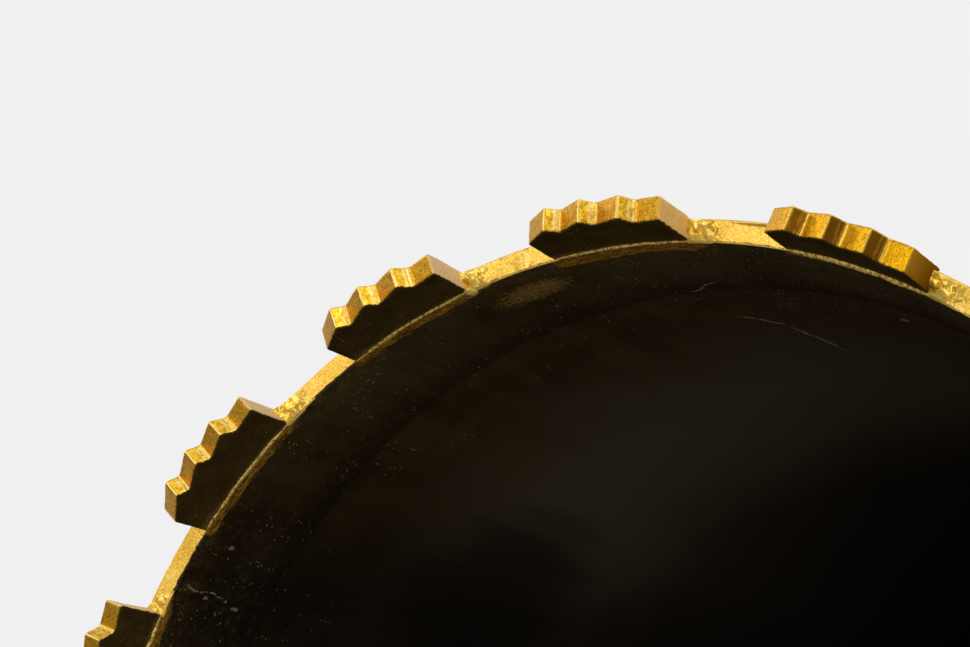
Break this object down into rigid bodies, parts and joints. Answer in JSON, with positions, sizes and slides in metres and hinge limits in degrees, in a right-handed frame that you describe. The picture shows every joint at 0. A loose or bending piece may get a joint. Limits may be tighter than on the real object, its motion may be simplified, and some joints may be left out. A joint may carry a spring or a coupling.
{
  "type": "diamond core bit",
  "caption": "Large open-ended steel drilling tube with saw-topped abrasive segments brazed round its rim and a threaded coupling on its back plate, for coring concrete.",
  "frame": {"origin": "centre of the coupling's end face, on the drilling axis, where the bit stands", "axes": "+Z along the drilling axis, from the coupling towards the cutting end; +X through the middle of segment_01"},
  "size_m": [0.1996, 0.2, 0.4399],
  "materials": {
    "outer_paint": "gold metallic spray paint outside, dark unpainted mill-scale steel on the inner walls",
    "turned_steel": "turned bare steel",
    "segment_matrix": "sintered grit and metal, sprayed gold, dark on the inner face",
    "braze_alloy": "lumpy braze under gold spray paint"
  },
  "bodies": {
    "root": {"barrel": "outer_paint", "crown_ring": "outer_paint", "back_plate": "outer_paint", "plate_weld": "outer_paint", "coupling": "turned_steel", "coupling_weld": "outer_paint", "segment_01": "segment_matrix", "segment_02": "segment_matrix", "segment_03": "segment_matrix", "segment_04": "segment_matrix", "segment_05": "segment_matrix", "segment_06": "segment_matrix", "segment_07": "segment_matrix", "segment_08": "segment_matrix", "segment_09": "segment_matrix", "segment_10": "segment_matrix", "segment_11": "segment_matrix", "segment_12": "segment_matrix", "segment_13": "segment_matrix", "segment_14": "segment_matrix", "segment_15": "segment_matrix", "braze_fillet_01": "braze_alloy", "braze_fillet_02": "braze_alloy", "braze_fillet_03": "braze_alloy", "braze_fillet_04": "braze_alloy", "braze_fillet_05": "braze_alloy", "braze_fillet_06": "braze_alloy", "braze_fillet_07": "braze_alloy", "braze_fillet_08": "braze_alloy", "braze_fillet_09": "braze_alloy", "braze_fillet_10": "braze_alloy", "braze_fillet_11": "braze_alloy", "braze_fillet_12": "braze_alloy", "braze_fillet_13": "braze_alloy", "braze_fillet_14": "braze_alloy", "braze_fillet_15": "braze_alloy"}
  },
  "joints": []
}
